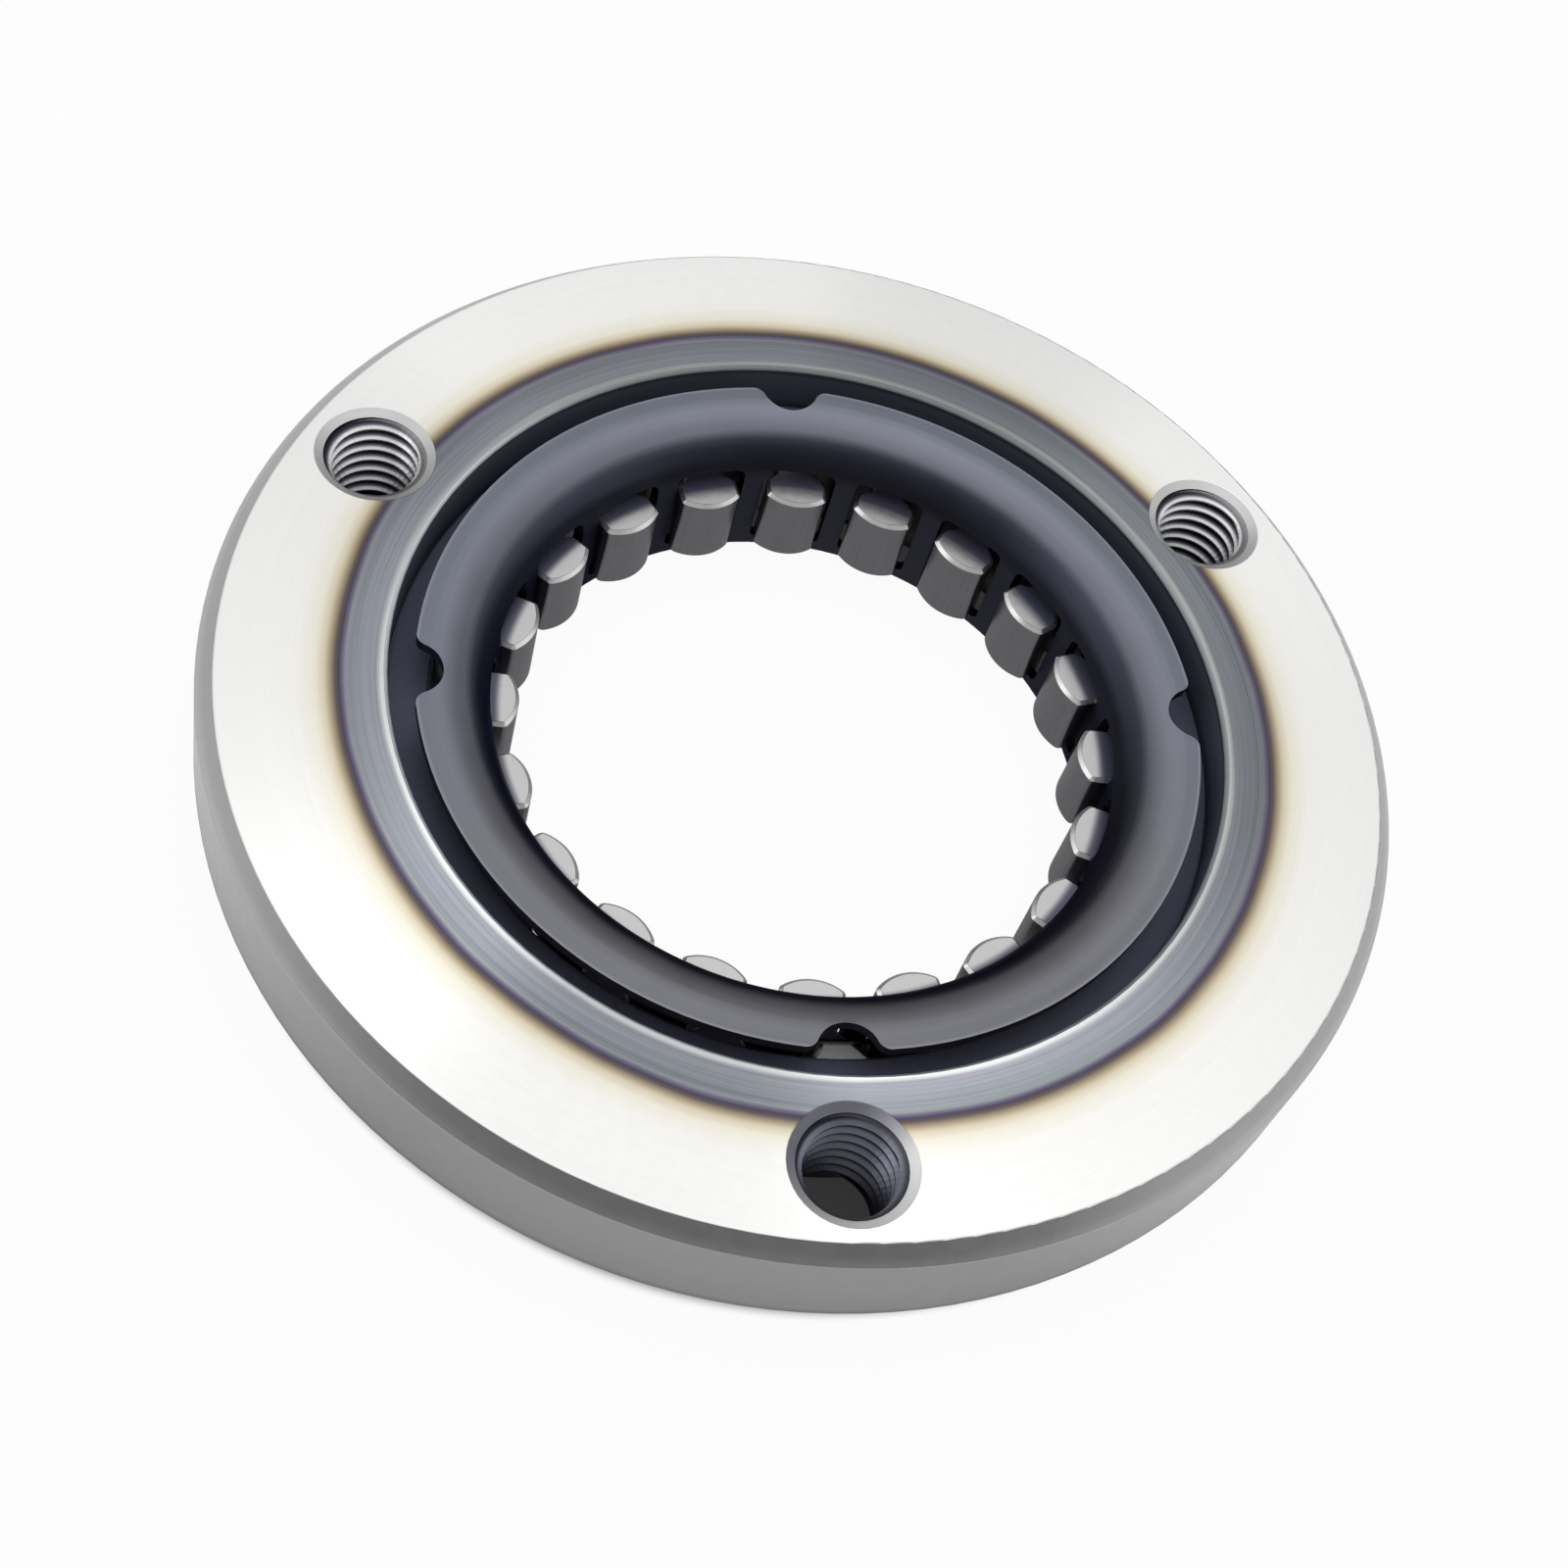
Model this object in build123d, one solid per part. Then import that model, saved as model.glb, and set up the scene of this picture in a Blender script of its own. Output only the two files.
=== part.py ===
"""Starter sprag clutch: a tapped ring carrying a double-cage sprag set.

The frame's origin is the centre of the ground mounting face, with +Z out of that
face along the clutch axis and a tapped hole on -Y.  Sizes are in millimetres.
Radii are built up from the inside: hub track, sprags, race, cage seat, bolt
circle, rim.  Depths are measured down from the mounting face.
"""
from build123d import *
import math
import os

# ---- driving sizes: sprags -------------------------------------------------
TRACK_R = 22.5          # radius of the hub that the sprags grip
SPRAG_HEIGHT = 8.33     # from the hub track out to the race
TIP_REACH = 0.3         # tips reach this far inside the hub track with no hub fitted
SPRAG_COUNT = 20
SPRAG_PHASE = 1.9       # degrees from +X to the first sprag's pivot
SPRAG_LENGTH = 6.8
OUTER_CAM_R = 3.4       # cam that rolls on the race, centred on the sprag's pivot
INNER_CAM_R = 3.9       # cam that grips the hub
HEAD_OFFSET = 1.8       # inner head stands this far behind the outer one
HEAD_TURN = 5.0         # degrees the inner head is turned to face the hub
OUTER_HEAD_W = 5.3
INNER_HEAD_W = 5.0
NECK_W = 2.6
OUTER_FLANK = 0.45      # straight sides of the two heads
INNER_FLANK = 1.7
OUTER_FLARE = 45.0      # degrees between the neck and each head's shoulder
INNER_FLARE = 48.0
HEAD_ROUND = 0.5
NECK_ROUND = 0.6
SPRAG_BEVEL = 0.3

# ---- driving sizes: race ring ----------------------------------------------
SEAT_W = 1.62           # step from the race out to the counterbore wall
SEAT_DEPTH = 4.9
MOUTH_BEVEL = 0.3
BOLT_LAND = 6.8         # from the counterbore wall to the bolt circle
BOLT_COUNT = 3
BOLT_PHASE = -90.0
THREAD_R = 4.0          # M8 nominal radius
BOLT_MOUTH = 0.75       # countersink beyond the nominal thread, at 120 degrees
BOLT_MOUTH_H = 0.43
RIM_LAND = 7.05         # from the bolt circle to the rim
RIM_T = 10.3
RIM_BEVEL_W = 1.3
RIM_BEVEL_H = 1.4
RIM_FOOT_BEVEL = 0.95
RIM_EDGE = 0.25         # broken edge either side of the rim bevel
HUB_W = 3.8             # wall of the hub that backs the race below the rim
HUB_BEVEL = 0.4

# ---- driving sizes: inner cage ---------------------------------------------
INNER_SHEET = 0.9
TIP_PROUD = 1.8         # sprag tips stand this far inside the cage's throat
THROAT_BEND = 5.0       # radius of the funnel's inner surface
FLANGE_DROP = 0.27      # cage flange lies this far under the mounting face
FLANGE_GAP = 1.95       # open ring between flange and counterbore wall
NOTCH_COUNT = 4
NOTCH_PHASE = 0.7
NOTCH_R = 2.35
NOTCH_OFFSET = 0.15     # notch centre beyond the flange edge
NOTCH_ROUND = 1.0
HEADROOM = 1.35         # window opening above the sprag's top
FOOT_H = 0.9            # closed ring under the windows
WINDOW_ROUND = 0.6

# ---- driving sizes: outer cage and ribbon spring ----------------------------
OUTER_SHEET = 0.6
RACE_GAP = 1.2          # outer cage's drum inside the race
OUTER_FOOT_H = 0.75
OUTER_BEND = 0.3
SPRING_T = 0.25
SPRING_OFFSET = 0.07    # spring strip's inner face beyond the pivot circle
SPRING_RAIL = 0.4

# ---- clearances ---------------------------------------------------------------
RUN_GAP = 0.03          # outer cam to race
TIP_PLAY = 0.45         # inner head to the side of the window it carries along
HEAD_PLAY = 0.45        # outer head to the side of the window it swings in
NECK_PLAY = 1.1         # neck to the side of the spring's window
END_PLAY = 0.15         # sprag end to window end
SEAT_PLAY = 0.25        # outer cage flange to counterbore wall
TOP_SINK = 0.15         # sprag's top below the cage seat
FACE_PLAY = 0.1         # inner cage's foot above the hub's end face

PICK = 0.001 * TRACK_R   # slack when picking an edge or corner by its place

# ---- worked-out radii ----------------------------------------------------------
TIP_R = TRACK_R - TIP_REACH
RACE_R = TRACK_R + SPRAG_HEIGHT
SEAT_R = RACE_R + SEAT_W
BOLT_CIRCLE_R = SEAT_R + BOLT_LAND
RIM_R = BOLT_CIRCLE_R + RIM_LAND
HUB_R = RACE_R + HUB_W
PIVOT_R = RACE_R - RUN_GAP - OUTER_CAM_R
THROAT_R = TRACK_R + TIP_PROUD
FLANGE_R = SEAT_R - FLANGE_GAP
OUTER_CAGE_R = RACE_R - RACE_GAP - OUTER_SHEET
SPRING_R = PIVOT_R + SPRING_OFFSET

# ---- worked-out depths below the mounting face ----------------------------------
SPRAG_TOP = SEAT_DEPTH + TOP_SINK
SPRAG_END = SPRAG_TOP + SPRAG_LENGTH
WINDOW_END = SPRAG_END + END_PLAY
WINDOW_TOP = SPRAG_TOP - HEADROOM
CAGE_END = WINDOW_END + FOOT_H
HUB_END = CAGE_END + FACE_PLAY
OUTER_CAGE_END = WINDOW_END + OUTER_FOOT_H


def lag_angle(offset, radius):
    """Degrees about the clutch axis that a tangential offset makes at a radius."""
    return math.degrees(math.asin(offset / radius))


def revolved(points):
    """Solid of revolution about Z of a closed outline of (radius, depth) points."""
    outline = Polyline(*[(r, 0, -depth) for r, depth in points], close=True)
    return revolve(make_face(outline), Axis.Z)


def around(count, phase):
    """Rotations that repeat a shape count times about Z, the first at phase degrees."""
    return [Rot(0, 0, phase + k * 360.0 / count) for k in range(count)]


def window_cutter(width, top, end, radius, reach, corner):
    """Radial tool with rounded corners that opens one cage window on the +X side."""
    height = end - top
    rounding = min(corner, 0.4 * width, 0.4 * height)
    face = RectangleRounded(width, height, rounding)
    tool = extrude(face, reach / 2, both=True)
    return Pos(radius, 0, -(top + end) / 2) * Rot(0, 0, 90) * Rot(90, 0, 0) * tool


def outer_race():
    """Hardened ring: race, counterbore, ground face, bevelled rim and tapped holes."""
    body = revolved([
        (SEAT_R + MOUTH_BEVEL, 0),
        (RIM_R - RIM_BEVEL_W, 0),
        (RIM_R, RIM_BEVEL_H),
        (RIM_R, RIM_T - RIM_FOOT_BEVEL),
        (RIM_R - RIM_FOOT_BEVEL, RIM_T),
        (HUB_R, RIM_T),
        (HUB_R, HUB_END - HUB_BEVEL),
        (HUB_R - HUB_BEVEL, HUB_END),
        (RACE_R + HUB_BEVEL, HUB_END),
        (RACE_R, HUB_END - HUB_BEVEL),
        (RACE_R, SEAT_DEPTH),
        (SEAT_R, SEAT_DEPTH),
        (SEAT_R, MOUTH_BEVEL),
    ])
    bevel = [e for e in body.edges().filter_by(GeomType.CIRCLE)
             if e.radius > RIM_R - RIM_BEVEL_W - PICK and e.center().Z > -RIM_BEVEL_H - PICK]
    body = fillet(bevel, RIM_EDGE)
    drill = Pos(BOLT_CIRCLE_R, 0, -RIM_T / 2) * Cylinder(THREAD_R, 2 * RIM_T)
    mouth_r = THREAD_R + BOLT_MOUTH
    mouth = Pos(BOLT_CIRCLE_R, 0, -BOLT_MOUTH_H / 2) * Cone(THREAD_R, mouth_r, BOLT_MOUTH_H)
    back = Pos(BOLT_CIRCLE_R, 0, -RIM_T + BOLT_MOUTH_H / 2) * Cone(mouth_r, THREAD_R, BOLT_MOUTH_H)
    for turn in around(BOLT_COUNT, BOLT_PHASE):
        body -= turn * (drill + mouth + back)
    return body


def sprag_outline():
    """Closed profile of a sprag, pivot at the origin, outer head square to +X.

    The outer cam is centred on the pivot.  The inner head is set back by HEAD_OFFSET
    and turned by HEAD_TURN, and its cam is centred so that the tip meets TIP_R.
    """
    half_out = OUTER_HEAD_W / 2
    half_in = INNER_HEAD_W / 2
    half_neck = NECK_W / 2
    cam_out = math.degrees(math.asin(half_out / OUTER_CAM_R))
    cam_in = math.degrees(math.asin(half_in / INNER_CAM_R))
    centre_in = math.sqrt((TIP_R + INNER_CAM_R)**2 - HEAD_OFFSET**2) - PIVOT_R
    out_x = OUTER_CAM_R * math.cos(math.radians(cam_out))
    in_x = -INNER_CAM_R * math.cos(math.radians(cam_in))
    shoulder_out = out_x - OUTER_FLANK
    shoulder_in = in_x + INNER_FLANK
    neck_out = shoulder_out - (half_out - half_neck) / math.tan(math.radians(OUTER_FLARE))
    neck_in = shoulder_in + (half_in - half_neck) / math.tan(math.radians(INNER_FLARE))
    head = Pos(centre_in, -HEAD_OFFSET) * Rot(0, 0, -HEAD_TURN)

    def side(hand):
        outer = [Vector(x, hand * y) for x, y in
                 ((out_x, half_out), (shoulder_out, half_out), (neck_out, half_neck))]
        inner = [(head * Pos(x, hand * y)).position for x, y in
                 ((neck_in, half_neck), (shoulder_in, half_in), (in_x, half_in))]
        return outer, inner

    lead_out, lead_in = side(1)
    trail_out, trail_in = side(-1)
    inner_cam = head * CenterArc((0, 0), INNER_CAM_R, 180 - cam_in, 2 * cam_in)
    outer_cam = CenterArc((0, 0), OUTER_CAM_R, -cam_out, 2 * cam_out)
    lead = Polyline(*lead_out, *lead_in)
    trail = Polyline(*reversed(trail_in), *reversed(trail_out))
    face = make_face(lead + inner_cam + trail + outer_cam)

    def corners_at(points):
        return [v for v in face.vertices() if min((Vector(v) - p).length for p in points) < PICK]

    face = fillet(corners_at([lead_out[2], lead_in[0], trail_in[0], trail_out[2]]), NECK_ROUND)
    return fillet(corners_at([*lead_out[:2], *lead_in[1:], *trail_in[1:], *trail_out[:2]]),
                  HEAD_ROUND)


def sprag_blank():
    """One bevelled sprag standing at its depth, pivot on the Z axis, outer end on +X."""
    solid = Pos(0, 0, -SPRAG_END) * extrude(sprag_outline(), SPRAG_LENGTH)
    rims = solid.faces().sort_by(Axis.Z)[0].edges() + solid.faces().sort_by(Axis.Z)[-1].edges()
    return chamfer(rims, SPRAG_BEVEL)


def inner_cage():
    """Drawn funnel with a notched flange and one window for each sprag tip."""
    lip = FLANGE_DROP + INNER_SHEET
    outside = THROAT_R + INNER_SHEET
    sheet = revolved([
        (THROAT_R, FLANGE_DROP),
        (FLANGE_R, FLANGE_DROP),
        (FLANGE_R, lip),
        (outside, lip),
        (outside, CAGE_END),
        (THROAT_R, CAGE_END),
    ])
    corner = sheet.edges().filter_by(GeomType.CIRCLE).group_by(SortBy.RADIUS)[0].sort_by(Axis.Z)[-1]
    cage = fillet(corner, THROAT_BEND)
    crook = [e for e in cage.edges().filter_by(GeomType.CIRCLE) if abs(e.radius - outside) < PICK]
    cage = fillet(ShapeList(crook).sort_by(Axis.Z)[-1], THROAT_BEND - INNER_SHEET)
    plate = Circle(FLANGE_R)
    for turn in around(NOTCH_COUNT, NOTCH_PHASE):
        plate -= turn * Pos(FLANGE_R + NOTCH_OFFSET, 0) * Circle(NOTCH_R)
    plate = fillet(plate.vertices(), NOTCH_ROUND)
    cage &= Pos(0, 0, -CAGE_END) * extrude(plate, CAGE_END)
    wall_r = THROAT_R + INNER_SHEET / 2
    lag = SPRAG_PHASE - lag_angle(HEAD_OFFSET, wall_r)
    cutter = window_cutter(INNER_HEAD_W + 2 * TIP_PLAY, WINDOW_TOP, WINDOW_END,
                           wall_r, 4 * INNER_SHEET, WINDOW_ROUND)
    for turn in around(SPRAG_COUNT, lag):
        cage -= turn * cutter
    return cage


def outer_cage():
    """Drum with a flat flange on the cage seat and one window for each outer head."""
    top = SEAT_DEPTH - OUTER_SHEET
    outside = OUTER_CAGE_R + OUTER_SHEET
    cage = revolved([
        (OUTER_CAGE_R, top + OUTER_BEND),
        (OUTER_CAGE_R + OUTER_BEND, top),
        (SEAT_R - SEAT_PLAY, top),
        (SEAT_R - SEAT_PLAY, SEAT_DEPTH),
        (outside, SEAT_DEPTH),
        (outside, OUTER_CAGE_END),
        (OUTER_CAGE_R, OUTER_CAGE_END),
    ])
    wall_r = OUTER_CAGE_R + OUTER_SHEET / 2
    cutter = window_cutter(OUTER_HEAD_W + 2 * HEAD_PLAY, SEAT_DEPTH, WINDOW_END,
                           wall_r, 4 * OUTER_SHEET, WINDOW_ROUND)
    for turn in around(SPRAG_COUNT, SPRAG_PHASE):
        cage -= turn * cutter
    return cage


def ribbon_spring():
    """Thin energising strip, closed into a ring, that the sprag necks pass through."""
    top = SPRAG_TOP - END_PLAY - SPRING_RAIL
    end = WINDOW_END + SPRING_RAIL
    outside = SPRING_R + SPRING_T
    strip = revolved([(SPRING_R, top), (outside, top), (outside, end), (SPRING_R, end)])
    cutter = window_cutter(NECK_W + 2 * NECK_PLAY, SPRAG_TOP - END_PLAY, WINDOW_END,
                           SPRING_R, 8 * SPRING_T, WINDOW_ROUND)
    for turn in around(SPRAG_COUNT, SPRAG_PHASE):
        strip -= turn * cutter
    return strip


def main():
    os.makedirs("parts", exist_ok=True)
    export_step(outer_race(), "parts/outer_race.step")
    export_step(outer_cage(), "parts/outer_cage.step")
    export_step(ribbon_spring(), "parts/ribbon_spring.step")
    export_step(inner_cage(), "parts/inner_cage.step")
    blank = sprag_blank()
    for k, turn in enumerate(around(SPRAG_COUNT, SPRAG_PHASE)):
        placed = turn * Pos(PIVOT_R, 0, 0) * blank
        export_step(placed, f"parts/sprag_{k + 1:02d}.step")


main()
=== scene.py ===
"""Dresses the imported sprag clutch: finishes for every piece, cut threads in the holes, studio and camera."""

import math

import bpy
import numpy as np
from mathutils import Matrix, Vector


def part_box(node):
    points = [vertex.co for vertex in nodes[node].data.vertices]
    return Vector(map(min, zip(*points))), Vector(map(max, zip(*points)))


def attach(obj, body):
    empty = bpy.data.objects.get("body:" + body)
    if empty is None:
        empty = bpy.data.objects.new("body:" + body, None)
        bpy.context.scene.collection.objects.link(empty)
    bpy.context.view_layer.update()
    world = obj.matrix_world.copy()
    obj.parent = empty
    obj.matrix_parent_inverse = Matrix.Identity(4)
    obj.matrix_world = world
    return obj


MM = 0.001

# ---- sizes the finishes and threads follow, in millimetres ------------------------

BOLT_CIRCLE_R = 39.25
BOLT_ANGLES = (-90.0, 30.0, 150.0)
NEAR_HOLE_Y = (-30.0, -28.0)        # the near hole lies before this, the other two after it
THREAD_ROOT_R = 4.0
THREAD_CORE_R = 3.35
THREAD_PITCH = 1.25
THREAD_LEAD = math.radians(104)     # where the tap's first ridge leaves the countersink
THREAD_START = 0.1                  # the ridge starts this far above the face and ends as far below the back
THREAD_SUNK = 0.03                  # how far the ridge's foot lies inside the steel
THREAD_HALF_WIDTHS = (0.47, 0.43, 0.0625)   # of the ridge's foot, root and crest, in pitches
THREAD_STEPS = 48                   # sections a turn
THREAD_SPACING = 0.004              # kept between a section's points where the countersinks hold them level
MOUTH_R = 4.75
MOUTH_SLOPE = math.tan(math.radians(60))    # countersink of 120 degrees
DRILLED_R = (4.0, 4.02)             # inside this only the drilled wall
HOLE_EDGE_R = (4.8, 4.85)           # outside this nothing of the hole
RING_T = 10.3
FACE_DEPTH = (0.02, 0.05)           # deeper than this is no longer the mounting face
LAND_END_R = (35.4, 36.2)           # the turned inner land ends here
MOUTH_EDGE_R = (32.95, 33.3)        # the bevelled edge of the bore ends here
MOUTH_EDGE_DEPTH = (0.5, 0.9)
BORE_R = (34.0, 34.5)               # walls inside this are the bore, outside it the rim
FUNNEL_LIP_DEPTH = (3.6, 4.8)       # deeper than this is the funnel's wall
SPRAG_TOP = 5.05
BEVEL = 0.3
SHOULDER_R = (27.2, 27.7)           # sprag heads outside this sit in the groove: painted shade, and painted light where a notch opens over them
COVER_R = (23.5, 24.2)              # sprag ends outside this lie under the funnel, and are painted in its shade
NOTCH_PHASE = math.radians(0.7)     # the four notches of the flange start here
NOTCH_HALF = (2.3, 2.9)
LEAD_DEPTH = (0.5, 0.72)            # the thread's pale lead-in ends here
# the thread is painted in shade, darker between these depths down the hole
THREAD_SHADE_DEPTH = (1.2, 9.0)
PASSAGE_R = (24.6, 26.0)            # floor in clear light inside the cages
RING_SHADE_R = (44.0, 45.5)         # floor that the ring stands over, in painted shadow, ends here
FLOOR_GAP = 0.2                     # between the floor and the ring
SHADE_SPOT = (-12.0, -52.0)         # middle of the painted soft shadow on the floor, on the dim side of the room
SHADE_REACH = (25.0, 70.0)

# ---- fans of painted light and shade round the axis: middle, foot and crest half-widths in degrees ------

FACE_SHEEN_FANS = (                       # painted sheen; and the light lost on the face and on the inner land
    (-113, 26, 2, 0.16, 0.38),
    (170, 40, 6, 0.13, 0.28),
    (66, 24, 4, 0.09, 0.10),
    (55, 120, 66, 0.02, 0.42),
    (-34, 60, 24, 0.08, 0.07),
)
# painted shade on the bore's bevelled edge, on the far (+Y) side
EDGE_SHADE_FAN, EDGE_SHADE_LOSS = (90, 100, 30), 0.28
# painted shade on the top of the bore, all round but the -X side
BORE_SHADE_FAN, BORE_SHADE_LOSS = (15, 138, 102), 0.5
# painted warm light on the funnel's -Y side
FUNNEL_WARM_LIGHT_FAN = (-90, 100, 35)

# ---- colours on the screen; bands have both ends and stops in millimetres ---------

# the ring's own tint and grind by radius; the first stop is a painted highlight along the bore's bevelled edge
FACE_BY_RADIUS = (32.4, 46.4, (
    (32.9, (242, 243, 248)), (33.25, (173, 175, 187)), (34.6, (164, 168, 181)), (35.1, (154, 158, 170)),
    (35.5, (166, 168, 176)), (35.75, (118, 114, 140)), (36.0, (82, 76, 92)), (36.3, (104, 94, 88)),
    (36.7, (172, 158, 132)), (37.1, (218, 207, 182)), (37.8, (239, 235, 220)), (39.2, (246, 245, 241)),
    (41.5, (247, 247, 246)), (45.1, (247, 247, 246)),
))
# rim wall by depth, with painted shade darker toward the foot and the boss under it
RIM_BY_DEPTH = (0.0, 13.2, (
    (0.0, 170), (0.75, 172), (1.2, 186), (1.5, 179), (5.0, 176), (8.6, 166), (9.5, 128), (13.0, 120),
))
# a painted highlight on the bore's top bevel, then the bore's blue-grey, with painted shade darkest at the
# sprags' level
BORE_BY_DEPTH = (0.0, 13.0, (
    (0.0, (232, 234, 240)), (0.12, (226, 228, 234)), (0.3, (150, 152, 164)), (0.5, (116, 118, 132)),
    (4.3, (102, 104, 122)), (5.2, (60, 60, 80)), (12.9, (96, 97, 104)),
))
# funnel top by radius: the sheet's blue-grey, with painted shade darker into the throat
FUNNEL_BY_RADIUS = (24.0, 30.6, (
    (24.3, (66, 67, 78)), (25.6, (62, 63, 76)), (26.1, (72, 74, 86)), (26.7, (112, 114, 125)),
    (28.4, (120, 123, 134)), (29.3, (116, 120, 131)), (30.2, (112, 116, 127)), (30.45, (132, 136, 146)),
))
# painted shade: the funnel's wall darker down inside the cage
FUNNEL_BY_DEPTH = (3.4, 13.0, ((3.5, (66, 67, 78)), (5.0, (72, 72, 86)), (12.9, (78, 78, 90))))
# painted shade on the thread's flanks, darkening into the root
FLANK_SHADE_STOPS = ((3.62, (122, 124, 132)), (3.76, (54, 55, 65)), (4.0, (30, 31, 39)))

TINT_WANDER = 0.5                       # of the tinted ring's radius, in millimetres
FACE_STREAKS, LAND_STREAKS = 0.08, 0.72
PALE_HUES = ((255, 244, 250), (240, 255, 238))
# tint of the painted warm light on the funnel
WARM_LIGHT_TINT = (255, 249, 240)
DRILLED_GREY = 70
OTHER_HOLES_CONE = 205
NEAR_CONE_SHADE_AND_LIGHT = ((116, 116, 126), 250)     # its painted-shade side and its painted-highlight side
CONE_SLANT = (0.6, -0.8)                # toward the painted highlight
CONE_TURN = (-3.5, 4.5)
PHOSPHATE = ((76, 77, 96), (98, 99, 120))
SPRING_STRIP = (72, 98)
SPRAG_FLANK = ((150, 150, 154), (174, 174, 178))
# painted highlight along the bevels of the sprag ends
SPRAG_EDGE_HIGHLIGHT = 245
# sprag ends: their own grey, painted shade under the funnel, painted light under the notches
SPRAG_END, SPRAG_END_SHADED, SPRAG_END_NOTCH_LIGHT = 184, (84, 84, 104), 240
# painted highlight on the thread crests: darker in the near hole, bright in the other two
NEAR_HOLE_CREST = (128, 130, 146)
OTHER_HOLES_CREST = (238, 238, 240)
LEAD_GREY = 158
# how far the painted shade darkens the thread deep in the hole
THREAD_DEPTH_SHADE = 0.45

# ---- light of the floor and the room ----------------------------------------------

FLOOR_GREYS = (60, 232)                 # under the ring, a painted shadow, and clear of it
# share of the floor's glow, and the glow kept in the painted shadow under the ring
FLOOR_GLOW, FLOOR_GLOW_SHADED = 0.95, 0.03
FLOOR_IN_MIRRORS = (0.6, 0.36)          # in the painted soft shadow, and gained away from it
PASSAGE_LOSS = 0.7                      # painted shade in mirrors, inside the cages
ROOM_BY_HEIGHT = ((0.0, 0.28), (0.35, 0.31), (0.56, 0.37), (0.7, 0.57), (0.92, 0.69), (1.0, 1.0))
ROOM_UNIT = 0.65                        # level of that curve that counts as full light
WALLS_X, WALLS_Z, WALLS_GAIN = (0.6, 0.95), (0.3, 0.7), 0.45
DIM_TOWARD, DIM_SPREAD, DIM_Z, DIM_LOSS = (-0.35, -0.94), (0.15, 0.55), (0.72, 0.93), 0.56
PANEL_TOWARD, PANEL_SPREAD, PANEL_GAIN = (0.2, 0.42, 0.885), (0.962, 0.99), 0.18


# ---- node helpers -----------------------------------------------------------------

class Nodes:
    """Short names for building a node tree."""

    def __init__(self, tree):
        self.tree = tree

    def new(self, kind):
        return self.tree.nodes.new(kind)

    def feed(self, socket, value):
        if isinstance(value, bpy.types.NodeSocket):
            self.tree.links.new(value, socket)
        else:
            socket.default_value = value

    def math(self, operation, *values):
        node = self.new("ShaderNodeMath")
        node.operation = operation
        for socket, value in zip(node.inputs, values):
            self.feed(socket, value)
        return node.outputs[0]

    def chain(self, operation, values):
        """The values joined by one operation, from left to right."""
        result, *others = values
        for value in others:
            result = self.math(operation, result, value)
        return result

    def total(self, *values):
        return self.chain("ADD", values)

    def product(self, *values):
        return self.chain("MULTIPLY", values)

    def inverse(self, value):
        return self.math("SUBTRACT", 1.0, value)

    def line(self, value, slope, start):
        return self.total(self.product(value, slope), start)

    def swing(self, value, width):
        """A value from 0 to 1 as a swing of width about 0."""
        return self.product(self.math("SUBTRACT", value, 0.5), width)

    def around(self, value, share):
        """A value from 0 to 1 as a factor of 1 - share to 1 + share."""
        return self.line(value, 2 * share, 1 - share)

    def toward(self, parts, direction):
        """How far the parts of a vector reach in a direction."""
        return self.total(*(self.product(part, weight) for part, weight in zip(parts, direction)))

    def distance(self, x, y):
        return self.math("SQRT", self.total(self.product(x, x), self.product(y, y)))

    def fade(self, value, start, end):
        """0 before start, 1 after end, with a smooth step between."""
        node = self.new("ShaderNodeMapRange")
        node.interpolation_type = "SMOOTHSTEP"
        self.feed(node.inputs["Value"], value)
        node.inputs["From Min"].default_value = start
        node.inputs["From Max"].default_value = end
        return node.outputs["Result"]

    def before(self, value, start, end):
        """1 before start, 0 after end, with a smooth step between."""
        return self.inverse(self.fade(value, start, end))

    def ramp(self, value, low, high, stops):
        """A colour band over value, from low to high, with stops of (value, grey or colour)."""
        share = self.math("DIVIDE", self.math("SUBTRACT", value, low), high - low)
        node = self.new("ShaderNodeValToRGB")
        band = node.color_ramp.elements
        while len(band) < len(stops):
            band.new(0.5)
        for element, (at, colour) in zip(band, stops):
            element.position = (at - low) / (high - low)
            element.color = (*linear(colour), 1)
        self.feed(node.inputs[0], share)
        return node.outputs["Color"]

    def mix(self, share, a, b):
        """Colour a where share is 0, colour b where it is 1."""
        node = self.new("ShaderNodeMix")
        node.data_type = "RGBA"
        self.feed(node.inputs["Factor"], share)
        for socket, value in ((node.inputs["A"], a), (node.inputs["B"], b)):
            self.feed(socket, value if isinstance(value, bpy.types.NodeSocket) else (*linear(value), 1))
        return node.outputs["Result"]

    def vector_math(self, operation, colour, socket, value):
        node = self.new("ShaderNodeVectorMath")
        node.operation = operation
        self.feed(node.inputs[0], colour)
        self.feed(node.inputs[socket], value)
        return node.outputs[0]

    def scaled(self, colour, factor):
        """colour times a grey factor."""
        return self.vector_math("SCALE", colour, "Scale", factor)

    def tinted(self, colour, tint):
        """colour times another colour."""
        return self.vector_math("MULTIPLY", colour, 1, tint)

    def vector(self, x, y, z):
        node = self.new("ShaderNodeCombineXYZ")
        for socket, value in zip(node.inputs, (x, y, z)):
            self.feed(socket, value)
        return node.outputs[0]

    def noise(self, vector, scale=1.0, detail=3.0, roughness=0.55):
        node = self.new("ShaderNodeTexNoise")
        node.inputs["Scale"].default_value = scale
        node.inputs["Detail"].default_value = detail
        node.inputs["Roughness"].default_value = roughness
        self.feed(node.inputs["Vector"], vector)
        return node.outputs["Fac"]

    def coordinate(self, kind):
        """A texture coordinate, whole and as its x, y and z."""
        whole = self.new("ShaderNodeTexCoord").outputs[kind]
        split = self.new("ShaderNodeSeparateXYZ")
        self.tree.links.new(whole, split.inputs[0])
        return whole, split.outputs


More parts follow.
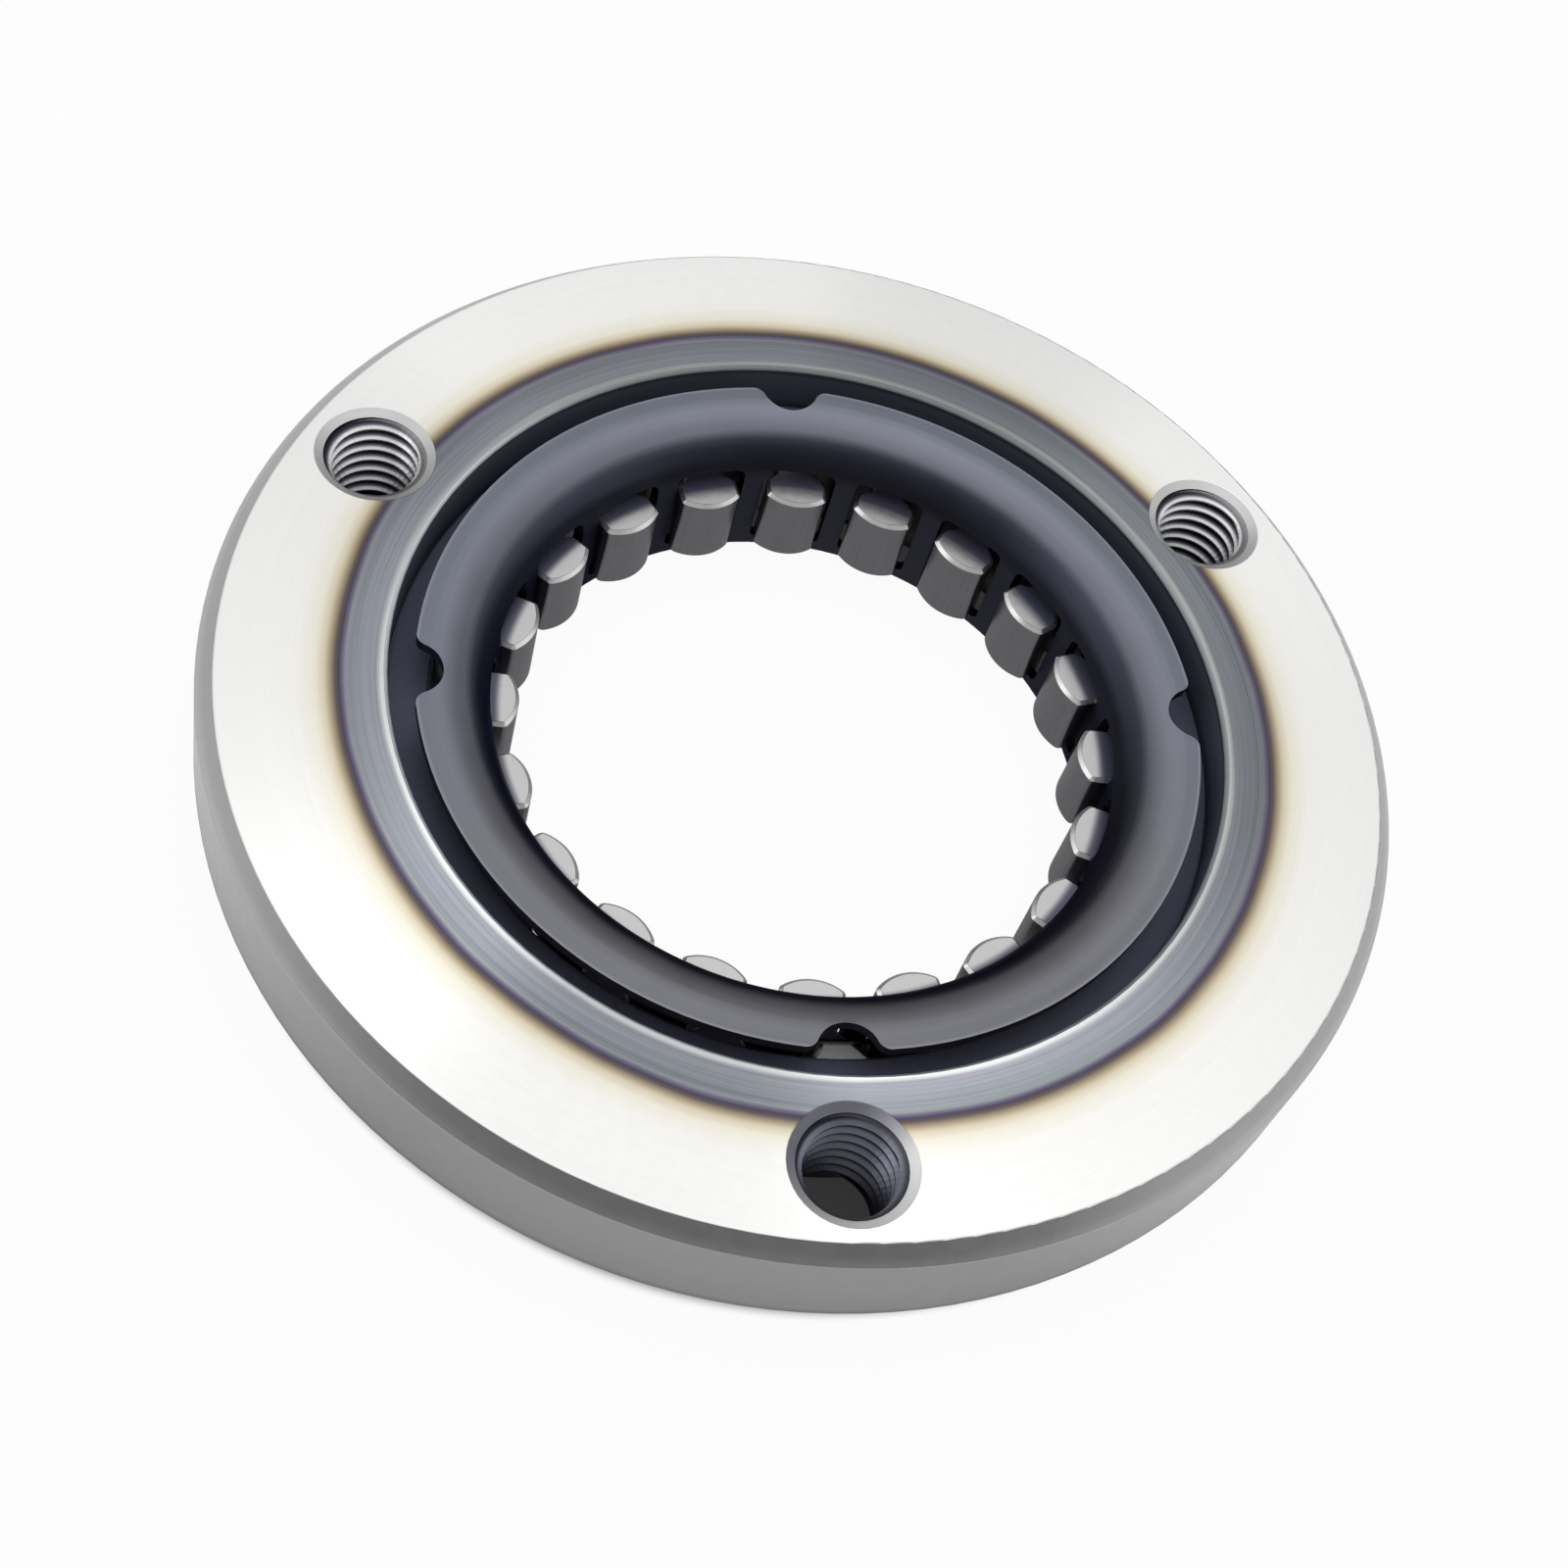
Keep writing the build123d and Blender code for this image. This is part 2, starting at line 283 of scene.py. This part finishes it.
class Finish(Nodes):
    """A procedural finish under construction: a material and its shader, placed in object space."""

    def __init__(self, name, metallic=1.0, roughness=0.4, specular=0.5):
        self.material = bpy.data.materials.new(name)
        self.material.use_nodes = True
        super().__init__(self.material.node_tree)
        self.shader = self.tree.nodes["Principled BSDF"]
        self.shader.inputs["Metallic"].default_value = metallic
        self.shader.inputs["Roughness"].default_value = roughness
        self.shader.inputs["Specular IOR Level"].default_value = specular
        self.place, axes = self.coordinate("Object")
        self.x, self.y, self.z = (self.product(axis, 1 / MM) for axis in axes)

    def radius(self):
        """Distance from the clutch axis, in millimetres."""
        return self.distance(self.x, self.y)

    def depth(self):
        """Depth below the mounting face, in millimetres."""
        return self.product(self.z, -1.0)

    def hole_distance(self):
        """Distance from the nearest hole's axis, in millimetres."""
        away = []
        for angle in BOLT_ANGLES:
            x, y = hole_centre(angle)
            away.append(self.distance(self.math("SUBTRACT", self.x, x), self.math("SUBTRACT", self.y, y)))
        return self.chain("MINIMUM", away)

    def lathe_marks(self, radius, depth, pitch, sweep):
        """Streaks that run round the axis: noise on (direction, radius, depth), stretched along the turn."""
        skew = 1.37     # keeps the streaks of faces and walls from lining up at the corners
        across, along = (self.math("DIVIDE", self.product(axis, sweep), radius) for axis in (self.x, self.y))
        step = self.math("DIVIDE", self.total(radius, self.product(depth, skew)), pitch)
        return self.noise(self.vector(across, along, step), detail=2.0)

    def drawn_marks(self, across, lengthwise):
        """Noise at its own pace across the axis and along it: fine lines one way or the other."""
        return self.noise(self.vector(self.product(self.x, across), self.product(self.y, across),
                                      self.product(self.z, lengthwise)))

    def fan(self, radius, middle, foot, crest):
        """1 within the crest's half-width of the middle direction, 0 outside the foot's."""
        turn = math.radians(middle)
        along = self.toward((self.x, self.y), (math.cos(turn), math.sin(turn)))
        return self.fade(self.math("DIVIDE", along, radius),
                         math.cos(math.radians(foot)), math.cos(math.radians(crest)))

    def bump(self, height, strength, distance):
        node = self.new("ShaderNodeBump")
        node.inputs["Strength"].default_value = strength
        node.inputs["Distance"].default_value = distance
        self.feed(node.inputs["Height"], height)
        self.tree.links.new(node.outputs[0], self.shader.inputs["Normal"])

    def colour(self, value):
        self.feed(self.shader.inputs["Base Color"], value)

    def rough(self, value, slope, start):
        self.feed(self.shader.inputs["Roughness"], self.line(value, slope, start))

    def metal(self, value):
        self.feed(self.shader.inputs["Metallic"], value)


def linear(colour):
    """Screen values from 0 to 255, a grey or a triple, as linear light."""
    triple = colour if isinstance(colour, (tuple, list)) else (colour,) * 3
    shares = [c / 255 for c in triple]
    return [s / 12.92 if s <= 0.04045 else ((s + 0.055) / 1.055) ** 2.4 for s in shares]


def hole_centre(angle):
    """x and y of the hole at this angle on the bolt circle, in millimetres."""
    turn = math.radians(angle)
    return BOLT_CIRCLE_R * math.cos(turn), BOLT_CIRCLE_R * math.sin(turn)


# ---- finishes ---------------------------------------------------------------------

def ring_face(f, radius, depth, streaks, mottle):
    """Mounting face: streaked grey inner land, straw-to-violet tint, bright ground land, a painted sheen in
    fans of light, and painted shade on the far side of the bore's edge.
    """
    wander = f.swing(f.noise(f.place, scale=60.0, detail=2.0), TINT_WANDER)
    # own tint and grind, with a painted highlight at the bore's edge
    face = f.ramp(f.total(radius, wander), *FACE_BY_RADIUS)
    turned = f.before(radius, *LAND_END_R)
    share = f.line(turned, LAND_STREAKS - FACE_STREAKS, FACE_STREAKS)
    face = f.scaled(face, f.total(1.0, f.swing(streaks, share)))
    hue = f.mix(f.lathe_marks(radius, depth, pitch=0.5, sweep=0.8), *PALE_HUES)
    face = f.tinted(face, f.mix(turned, 255, hue))
    losses = []
    # painted sheen: fans of light and shade round the face
    for middle, foot, crest, on_face, on_land in FACE_SHEEN_FANS:
        loss = f.total(on_face, f.product(turned, on_land - on_face))
        losses.append(f.product(f.fan(radius, middle, foot, crest), loss))
    face = f.scaled(face, f.inverse(f.total(*losses)))
    # painted shade on the far side of the bore's bevelled edge
    painted_shade = f.product(f.before(radius, *MOUTH_EDGE_R), f.fan(radius, *EDGE_SHADE_FAN), EDGE_SHADE_LOSS)
    return f.scaled(f.scaled(face, f.inverse(painted_shade)), f.around(mottle, 0.04))


def ring_hole(f, away):
    """Ringed countersink, the near hole's painted with shade on one side and a highlight on the other, and the
    plain drilled wall.
    """
    ring_pitch = 0.1
    rings = f.noise(f.vector(f.math("DIVIDE", away, ring_pitch), 0.0, 0.0), detail=2.0)
    # the near hole's countersink: painted shade on one side, painted highlight on the other
    slant = f.toward((f.x, f.total(f.y, BOLT_CIRCLE_R)), CONE_SLANT)
    near_cone_light_and_shade = f.mix(f.fade(slant, *CONE_TURN), *NEAR_CONE_SHADE_AND_LIGHT)
    cone = f.mix(f.before(f.y, *NEAR_HOLE_Y), OTHER_HOLES_CONE, near_cone_light_and_shade)
    return f.mix(f.fade(away, *DRILLED_R), DRILLED_GREY, f.scaled(cone, f.around(rings, 0.22)))


def race_ring_finish():
    """Hardened ring: bright ground face with a tinted, turned inner land, a bore with a painted highlight on
    its bevel and painted shade lower down, a satin rim painted darker toward its foot, and holes.
    """
    f = Finish("race_ring_steel")
    radius, depth, away = f.radius(), f.depth(), f.hole_distance()
    streaks = f.lathe_marks(radius, depth, pitch=0.16, sweep=1.1)
    mottle = f.noise(f.place, scale=900.0, detail=4.0, roughness=0.6)
    # rim painted in shade toward its foot; bore with a painted highlight on its top bevel and painted shade
    # lower down
    rim = f.scaled(f.ramp(depth, *RIM_BY_DEPTH), f.around(streaks, 0.06))
    bore = f.scaled(f.ramp(depth, *BORE_BY_DEPTH), f.around(streaks, 0.08))
    # painted shade on the top of the bore, all round but the -X side
    painted_shade = f.product(f.before(depth, *MOUTH_EDGE_DEPTH), f.fan(radius, *BORE_SHADE_FAN), BORE_SHADE_LOSS)
    bore = f.scaled(bore, f.inverse(painted_shade))
    inner = f.before(radius, *BORE_R)
    hole = f.before(away, *HOLE_EDGE_R)
    below = f.mix(hole, f.mix(inner, rim, bore), ring_hole(f, away))
    down = f.fade(depth, *FACE_DEPTH)
    f.colour(f.mix(down, ring_face(f, radius, depth, streaks, mottle), below))
    f.metal(f.inverse(f.product(down, inner, 0.5)))
    f.rough(mottle, 0.16, 0.3)
    f.bump(f.total(streaks, f.product(mottle, 0.6)), strength=0.12, distance=0.00004)
    return f.material


def funnel_finish():
    """Drawn and oiled cage sheet: blue-grey, with painted warm light on -Y, painted shade darker into the
    throat and down the funnel, and faint draw marks.
    """
    f = Finish("burnished_cage_sheet")
    f.shader.inputs["Specular Tint"].default_value = (0.3, 0.3, 0.34, 1)
    radius, depth = f.radius(), f.depth()
    marks = f.lathe_marks(radius, depth, pitch=0.35, sweep=0.9)
    cloud = f.noise(f.place, scale=260.0)
    # painted shade darker into the throat and down the wall
    top = f.ramp(radius, *FUNNEL_BY_RADIUS)
    wall = f.ramp(depth, *FUNNEL_BY_DEPTH)
    colour = f.mix(f.fade(depth, *FUNNEL_LIP_DEPTH), top, wall)
    colour = f.scaled(colour, f.product(f.around(marks, 0.10), f.around(cloud, 0.12)))
    # painted warm light on the -Y side
    f.colour(f.tinted(colour, f.mix(f.fan(radius, *FUNNEL_WARM_LIGHT_FAN), 255, WARM_LIGHT_TINT)))
    f.rough(cloud, 0.14, 0.3)
    f.bump(f.total(marks, cloud), strength=0.1, distance=0.00004)
    return f.material


def phosphate_finish():
    """Phosphated outer cage: near-black, matt and slightly grainy."""
    f = Finish("phosphated_cage_sheet", metallic=0.3, roughness=0.6, specular=0.3)
    grain = f.noise(f.place, scale=2500.0, detail=4.0, roughness=0.6)
    f.colour(f.mix(grain, *PHOSPHATE))
    f.rough(grain, 0.2, 0.45)
    f.bump(grain, strength=0.2, distance=0.00003)
    return f.material


def strip_finish():
    """Rolled spring strip: mid grey, with rolling marks along its length."""
    f = Finish("rolled_spring_strip")
    marks = f.lathe_marks(f.radius(), f.depth(), pitch=0.12, sweep=0.5)
    f.colour(f.mix(marks, *SPRING_STRIP))
    f.rough(marks, 0.1, 0.3)
    f.bump(marks, strength=0.1, distance=0.00003)
    return f.material


def sprag_finish():
    """Drawn and barrelled sprag steel: ends with a painted highlight on their bevels, painted shade under the
    cages and painted light under the flange's notches, grey drawn flanks.
    """
    f = Finish("sprag_steel")
    radius, depth = f.radius(), f.depth()
    tumble = f.noise(f.place, scale=1400.0, roughness=0.6)
    drawn = f.drawn_marks(across=5.0, lengthwise=0.16)
    end = f.before(depth, SPRAG_TOP + 0.02, SPRAG_TOP + 0.06)
    # painted highlight on the bevel round each end
    bevel_highlight = f.before(depth, SPRAG_TOP + BEVEL - 0.02, SPRAG_TOP + BEVEL + 0.06)
    cos, sin = math.cos(NOTCH_PHASE), math.sin(NOTCH_PHASE)
    across = f.toward((f.x, f.y), (cos, sin))
    along = f.toward((f.x, f.y), (-sin, cos))
    aside = f.math("MINIMUM", f.math("ABSOLUTE", across), f.math("ABSOLUTE", along))
    # painted light on the heads where the flange's notches open over them
    notch_light = f.product(f.fade(radius, *SHOULDER_R), f.before(aside, *NOTCH_HALF))
    # painted shade on the ends under the funnel
    under_funnel_shade = f.fade(radius, *COVER_R)
    top = f.mix(notch_light, f.mix(under_funnel_shade, SPRAG_END, SPRAG_END_SHADED), SPRAG_END_NOTCH_LIGHT)
    colour = f.mix(end, f.mix(bevel_highlight, f.mix(drawn, *SPRAG_FLANK), SPRAG_EDGE_HIGHLIGHT), top)
    f.colour(f.scaled(colour, f.around(tumble, 0.12)))
    f.metal(f.inverse(f.product(end, under_funnel_shade, 0.75)))
    f.rough(tumble, 0.14, 0.26)
    f.bump(f.total(tumble, drawn), strength=0.12, distance=0.00003)
    return f.material


def thread_finish(name, crest):
    """Cut thread: crests as light as given, a painted highlight; flanks with painted shade darkening into the
    root and down the hole; a pale lead-in.
    """
    f = Finish(name)
    depth = f.depth()
    marks = f.drawn_marks(across=0.9, lengthwise=6.0)
    # painted highlight on the crests and painted shade into the root
    flank = f.ramp(f.hole_distance(), THREAD_CORE_R, THREAD_ROOT_R + 0.1,
                   ((3.36, crest), (3.5, crest), *FLANK_SHADE_STOPS))
    # painted shade deeper in the hole
    flank = f.scaled(flank, f.inverse(f.product(f.fade(depth, *THREAD_SHADE_DEPTH), THREAD_DEPTH_SHADE)))
    lead = f.before(depth, *LEAD_DEPTH)
    flank = f.tinted(f.mix(lead, flank, LEAD_GREY), f.mix(lead, 255, crest))
    f.colour(f.scaled(flank, f.around(marks, 0.12)))
    f.rough(marks, 0.12, 0.24)
    f.bump(marks, strength=0.1, distance=0.00002)
    return f.material


# ---- pieces -----------------------------------------------------------------------

def stand(name, data):
    """A new object in the scene."""
    thing = bpy.data.objects.new(name, data)
    bpy.context.scene.collection.objects.link(thing)
    return thing


def grid_piece(name, points, finish):
    """A flat-shaded mesh on a grid of points, with shape (rows, columns, 3) in millimetres, joined into quads.

    Rows join to the next row, and the last column to the first.  The end rows stay open: the
    caller sinks them where they can't be seen.
    """
    rows, columns = points.shape[:2]
    index = np.arange(rows * columns).reshape(rows, columns)
    beside = np.roll(index, -1, axis=1)
    faces = np.stack([index[:-1], beside[:-1], beside[1:], index[1:]], axis=-1).reshape(-1, 4)
    mesh = bpy.data.meshes.new(name)
    mesh.from_pydata((points.reshape(-1, 3) * MM).tolist(), [], faces.tolist())
    mesh.update()
    mesh.polygons.foreach_set("use_smooth", np.zeros(len(mesh.polygons), bool))
    mesh.materials.append(finish)
    return stand(name, mesh)


def cut_thread(name, angle, finish):
    """Helical ridge left by the tap inside one hole.

    The ridge's section, from foot to root, crest and back, is carried round the hole's axis while
    it sinks one pitch a turn: radius = the section's radius, but never inside the cone of a
    countersink, and height = start - pitch * turns + the section's height, held between the
    two levels where the cones meet the root.  The cones run the ridge in and out.
    """
    foot_r = THREAD_ROOT_R + THREAD_SUNK
    mouth_depth = (MOUTH_R - THREAD_ROOT_R - THREAD_SUNK) / MOUTH_SLOPE
    turns = (RING_T + 2 * THREAD_START) / THREAD_PITCH
    turn = np.linspace(0.0, turns, int(turns * THREAD_STEPS) + 1)[:, None]
    foot, root, crest = (THREAD_PITCH * share for share in THREAD_HALF_WIDTHS)
    section_r = np.array([foot_r, THREAD_ROOT_R, THREAD_CORE_R, THREAD_CORE_R, THREAD_ROOT_R, foot_r])
    section_z = np.array([foot, root, crest, -crest, -root, -foot])
    order = THREAD_SPACING * np.arange(len(section_z))
    height = THREAD_START - THREAD_PITCH * turn + section_z
    height = np.minimum(height, -mouth_depth - order)
    height = np.maximum(height, mouth_depth - RING_T + order[::-1])
    front_cone = MOUTH_R + height * MOUTH_SLOPE
    back_cone = MOUTH_R - (RING_T + height) * MOUTH_SLOPE
    radius = np.maximum(section_r, np.minimum(np.maximum(front_cone, back_cone), foot_r))
    sweep = THREAD_LEAD + 2 * np.pi * turn
    x, y = hole_centre(angle)
    points = np.stack([x + radius * np.cos(sweep), y + radius * np.sin(sweep), height], axis=-1)
    piece = grid_piece(name, points[:, ::-1], finish)
    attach(piece, "race_ring")


# ---- studio -----------------------------------------------------------------------

def studio_floor(level):
    """Plain white floor, with painted shadow where the ring stands over it, and in mirrors a painted soft
    shadow on the dim side and painted shade inside the cages.
    """
    reach = 4.0     # metres
    mesh = bpy.data.meshes.new("studio_floor")
    corners = [(x * reach, y * reach, level) for x, y in ((-1, -1), (1, -1), (1, 1), (-1, 1))]
    mesh.from_pydata(corners, [], [(0, 1, 2, 3)])
    floor = stand("studio_floor", mesh)
    f = Finish("studio_white", metallic=0.0, roughness=1.0, specular=0.0)
    radius = f.radius()
    inside = f.before(radius, *PASSAGE_R)
    # painted shadow where the ring stands over the floor
    clear_of_painted_shadow = f.total(inside, f.fade(radius, *RING_SHADE_R))
    # painted soft shadow on the dim side, seen in mirrors
    spot = f.distance(*(f.math("SUBTRACT", axis, middle) for axis, middle in zip((f.x, f.y), SHADE_SPOT)))
    shaded, gained = FLOOR_IN_MIRRORS
    mirrored = f.line(f.fade(spot, *SHADE_REACH), gained, shaded)
    # painted shade inside the cages, seen in mirrors
    mirrored = f.product(mirrored, f.inverse(f.product(inside, PASSAGE_LOSS)))
    path = f.new("ShaderNodeLightPath").outputs
    seen = f.math("MAXIMUM", path["Is Camera Ray"], path["Is Glossy Ray"])
    glow = f.new("ShaderNodeEmission")
    f.feed(glow.inputs["Strength"], f.math("MAXIMUM", path["Is Camera Ray"], mirrored))
    plain = f.new("ShaderNodeBsdfDiffuse")
    f.feed(plain.inputs["Color"], f.mix(clear_of_painted_shadow, *FLOOR_GREYS))
    both = f.new("ShaderNodeMixShader")
    f.feed(both.inputs[0], f.product(seen, f.math("MAXIMUM", clear_of_painted_shadow, FLOOR_GLOW_SHADED), FLOOR_GLOW))
    f.tree.links.new(plain.outputs[0], both.inputs[1])
    f.tree.links.new(glow.outputs[0], both.inputs[2])
    f.tree.links.new(both.outputs[0], f.tree.nodes["Material Output"].inputs["Surface"])
    f.tree.nodes.remove(f.shader)
    mesh.materials.append(f.material)


def studio_world():
    """Soft room, brightest overhead, with pale walls to either side, a dim one on -Y and a panel above."""
    world = bpy.data.worlds.new("studio")
    bpy.context.scene.world = world
    world.use_nodes = True
    f = Nodes(world.node_tree)
    f.tree.nodes.clear()
    x, y, z = f.coordinate("Generated")[1]
    lift = f.new("ShaderNodeFloatCurve")
    points = lift.mapping.curves[0].points
    for share, level in ROOM_BY_HEIGHT[1:-1]:
        points.new(share, level)
    for point, stop in zip(points, ROOM_BY_HEIGHT):
        point.location = stop
    lift.mapping.update()
    f.feed(lift.inputs["Value"], z)
    walls = f.product(f.fade(f.math("ABSOLUTE", x), *WALLS_X), f.before(z, *WALLS_Z))
    dim = f.product(f.fade(f.toward((x, y), DIM_TOWARD), *DIM_SPREAD), f.before(z, *DIM_Z), DIM_LOSS)
    panel = f.fade(f.toward((x, y, z), PANEL_TOWARD), *PANEL_SPREAD)
    level = f.total(f.math("DIVIDE", lift.outputs[0], ROOM_UNIT), f.product(walls, WALLS_GAIN))
    level = f.total(f.product(level, f.inverse(dim)), f.product(panel, PANEL_GAIN))
    direct = f.new("ShaderNodeLightPath").outputs["Is Camera Ray"]
    room = f.new("ShaderNodeBackground")
    room.inputs["Color"].default_value = (1, 1, 1, 1)
    f.feed(room.inputs["Strength"], f.total(direct, f.product(level, f.inverse(direct))))
    out = f.new("ShaderNodeOutputWorld")
    f.tree.links.new(room.outputs[0], out.inputs["Surface"])


def facing(place, aim):
    """Turn of something at place that looks toward aim."""
    return (Vector(aim) - Vector(place)).to_track_quat("-Z", "Y")


def softbox(name, place, size, power):
    """Rectangular lamp that faces the part."""
    lamp = bpy.data.lights.new(name, "AREA")
    lamp.shape = "RECTANGLE"
    lamp.size, lamp.size_y = size
    lamp.energy = power
    holder = stand(name, lamp)
    holder.location = place
    holder.rotation_euler = facing(place, (0, 0, 0)).to_euler()


def studio_camera(place, aim, roll, lens):
    camera = bpy.data.cameras.new("studio_camera")
    camera.lens = lens
    camera.sensor_width = 36.0
    camera.clip_start = 0.01
    camera.clip_end = 20.0
    holder = stand("studio_camera", camera)
    turn = facing(place, aim).to_matrix() @ Matrix.Rotation(math.radians(roll), 3, "Z")
    holder.matrix_world = Matrix.Translation(Vector(place)) @ turn.to_4x4()
    bpy.context.scene.camera = holder


# ---- assembly ---------------------------------------------------------------------

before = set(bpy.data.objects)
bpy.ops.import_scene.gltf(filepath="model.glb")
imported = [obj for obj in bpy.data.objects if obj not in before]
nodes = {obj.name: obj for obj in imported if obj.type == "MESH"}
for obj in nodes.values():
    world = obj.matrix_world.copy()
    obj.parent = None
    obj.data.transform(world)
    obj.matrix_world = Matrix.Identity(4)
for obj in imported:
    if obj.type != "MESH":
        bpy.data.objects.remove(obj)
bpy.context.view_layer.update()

finishes = {
    "outer_race": race_ring_finish(),
    "outer_cage": phosphate_finish(),
    "ribbon_spring": strip_finish(),
    "inner_cage": funnel_finish(),
}
sprag_steel = sprag_finish()
for name, node in nodes.items():
    node.data.materials.clear()
    node.data.materials.append(finishes.get(name, sprag_steel))

# the near hole's thread is painted darker than the other two
near_hole_thread = thread_finish("near_hole_thread_steel", NEAR_HOLE_CREST)
other_holes_thread = thread_finish("other_holes_thread_steel", OTHER_HOLES_CREST)
for number, (angle, finish) in enumerate(zip(BOLT_ANGLES, (near_hole_thread, other_holes_thread, other_holes_thread)), 1):
    cut_thread(f"cut_thread_{number}", angle, finish)

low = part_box("outer_race")[0]
studio_floor(low.z - FLOOR_GAP * MM)
studio_world()
softbox("overhead_softbox", place=(0.05, 0.25, 0.55), size=(0.6, 0.4), power=0.15)
softbox("side_softbox", place=(-0.5, -0.05, 0.3), size=(0.3, 0.3), power=0.2)
studio_camera(place=(-0.03913, -0.10991, 0.15279), aim=(-0.00314, -0.00882, 0.0), roll=19.78, lens=57.91)
bpy.context.scene.view_settings.view_transform = "Standard"
